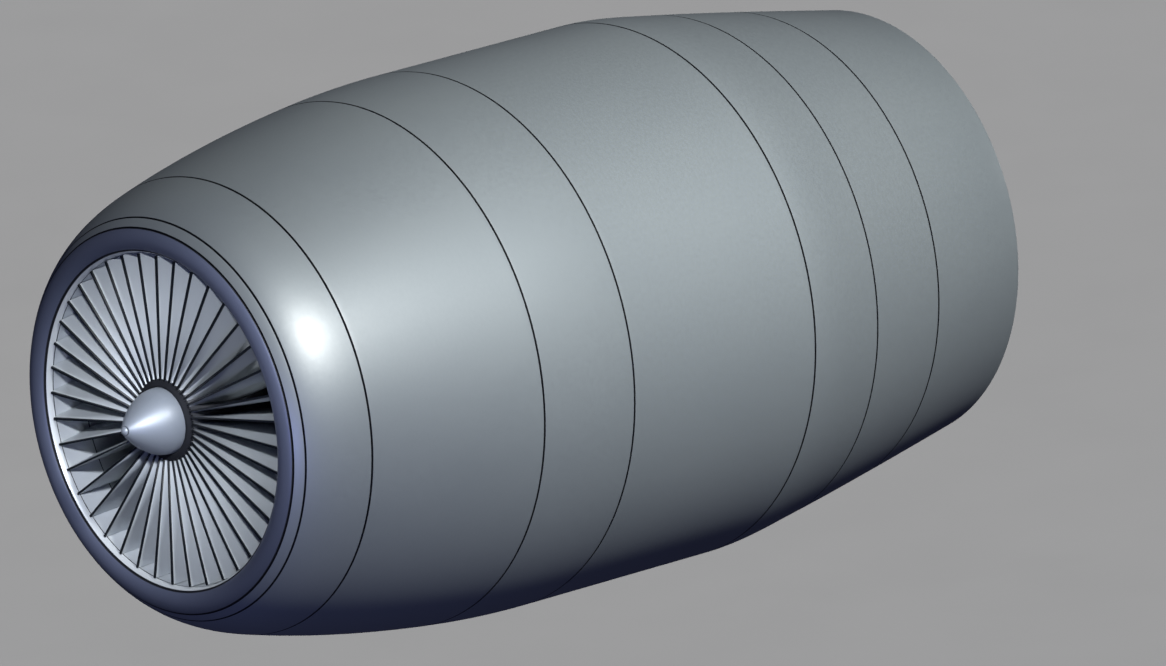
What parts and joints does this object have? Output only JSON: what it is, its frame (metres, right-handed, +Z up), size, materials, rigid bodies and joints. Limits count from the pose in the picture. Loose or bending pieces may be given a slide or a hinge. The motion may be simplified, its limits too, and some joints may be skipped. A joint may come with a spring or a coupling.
{
  "type": "turbofan engine in a long nacelle",
  "caption": "Turbofan engine in a long smooth nacelle: flat-edged fan with pointed spinner, two turning spools, bypass duct, core and bolted flank mounts.",
  "frame": {"origin": "On the shaft line, halfway between the tip of the spinner and the trailing edge of the exhaust nozzle: the centre of the bounding box.", "axes": "The shaft line is Y: -Y is the intake end, +Y the exhaust end. +Z is up. The mounts are on the -X flank."},
  "size_m": [1.954, 3.6006, 1.954],
  "materials": {
    "cowl_paint": "satin",
    "lip_metal": "satin",
    "duct_metal": "satin",
    "frame_metal": "matte",
    "blade_metal": "satin",
    "disk_metal": "satin",
    "dark_metal": "matte",
    "spinner_paint": "satin",
    "case_metal": "matte",
    "hot_metal": "satin",
    "bearing_steel": "polished",
    "mount_steel": "satin"
  },
  "bodies": {
    "nacelle_and_cases": {"inlet_lip": "lip_metal", "lip_band": "cowl_paint", "inlet_cowl": "cowl_paint", "forward_cowl": "cowl_paint", "fan_cowl_ring": "cowl_paint", "centre_cowl": "cowl_paint", "taper_cowl": "cowl_paint", "rear_cowl": "cowl_paint", "nozzle_cowl": "cowl_paint", "throat_ring": "duct_metal", "fan_track": "duct_metal", "fan_case": "duct_metal", "guide_vane_ring": "duct_metal", "core_splitter": "duct_metal", "front_bypass_duct": "duct_metal", "rear_bypass_duct": "duct_metal", "core_cowl": "duct_metal", "lip_bulkhead": "frame_metal", "forward_bulkhead": "frame_metal", "aft_bulkhead": "frame_metal", "nozzle_bulkhead": "frame_metal", "cowl_frames": "frame_metal", "exhaust_nozzle": "hot_metal", "core_nozzle": "hot_metal", "tail_cone": "hot_metal", "intermediate_frame": "case_metal", "front_bearing_support": "case_metal", "booster_case": "case_metal", "compressor_case": "case_metal", "combustor_case": "hot_metal", "combustor_liner": "hot_metal", "fuel_nozzles": "bearing_steel", "turbine_case": "hot_metal", "turbine_rear_frame": "hot_metal", "forward_mount": "mount_steel", "aft_mount": "mount_steel", "lp_front_bearing_outer_race": "bearing_steel", "lp_rear_bearing_outer_race": "bearing_steel", "core_front_bearing_outer_race": "bearing_steel", "core_rear_bearing_outer_race": "bearing_steel"},
    "lp_spool": {"fan_blades": "blade_metal", "fan_disk": "disk_metal", "blade_retaining_ring": "dark_metal", "spinner": "spinner_paint", "spinner_nose_cap": "spinner_paint", "booster_rotor": "disk_metal", "lp_shaft": "bearing_steel", "lp_turbine_rotor": "disk_metal", "lp_front_bearing_inner_race": "bearing_steel", "lp_rear_bearing_inner_race": "bearing_steel"},
    "core_spool": {"core_compressor_rotor": "disk_metal", "core_shaft": "bearing_steel", "core_turbine_rotor": "disk_metal", "core_front_bearing_inner_race": "bearing_steel", "core_rear_bearing_inner_race": "bearing_steel"},
    "lp_front_bearing_rollers": {"lp_front_bearing_rollers": "bearing_steel"},
    "lp_rear_bearing_rollers": {"lp_rear_bearing_rollers": "bearing_steel"},
    "core_front_bearing_rollers": {"core_front_bearing_rollers": "bearing_steel"},
    "core_rear_bearing_rollers": {"core_rear_bearing_rollers": "bearing_steel"}
  },
  "joints": [
    {"name": "lp_spool_spin", "type": "hinge", "parent": "nacelle_and_cases", "child": "lp_spool", "pos_m": [0, -1.31965, 0], "axis": [0, 1, 0], "continuous": true},
    {"name": "core_spool_spin", "type": "hinge", "parent": "nacelle_and_cases", "child": "core_spool", "pos_m": [0, -0.85465, 0], "axis": [0, 1, 0], "continuous": true},
    {"name": "lp_front_bearing_roll", "type": "hinge", "parent": "nacelle_and_cases", "child": "lp_front_bearing_rollers", "pos_m": [0, -1.31965, 0], "axis": [0, 1, 0], "continuous": true},
    {"name": "lp_rear_bearing_roll", "type": "hinge", "parent": "nacelle_and_cases", "child": "lp_rear_bearing_rollers", "pos_m": [0, 0.68035, 0], "axis": [0, 1, 0], "continuous": true},
    {"name": "core_front_bearing_roll", "type": "hinge", "parent": "nacelle_and_cases", "child": "core_front_bearing_rollers", "pos_m": [0, -0.85465, 0], "axis": [0, 1, 0], "continuous": true},
    {"name": "core_rear_bearing_roll", "type": "hinge", "parent": "nacelle_and_cases", "child": "core_rear_bearing_rollers", "pos_m": [0, -0.01965, 0], "axis": [0, 1, 0], "continuous": true}
  ],
  "couplings": [
    {"joint": "lp_front_bearing_roll", "follows": "lp_spool_spin", "ratio": 0.4422},
    {"joint": "lp_rear_bearing_roll", "follows": "lp_spool_spin", "ratio": 0.4422},
    {"joint": "core_front_bearing_roll", "follows": "core_spool_spin", "ratio": 0.4598},
    {"joint": "core_rear_bearing_roll", "follows": "core_spool_spin", "ratio": 0.4598}
  ]
}
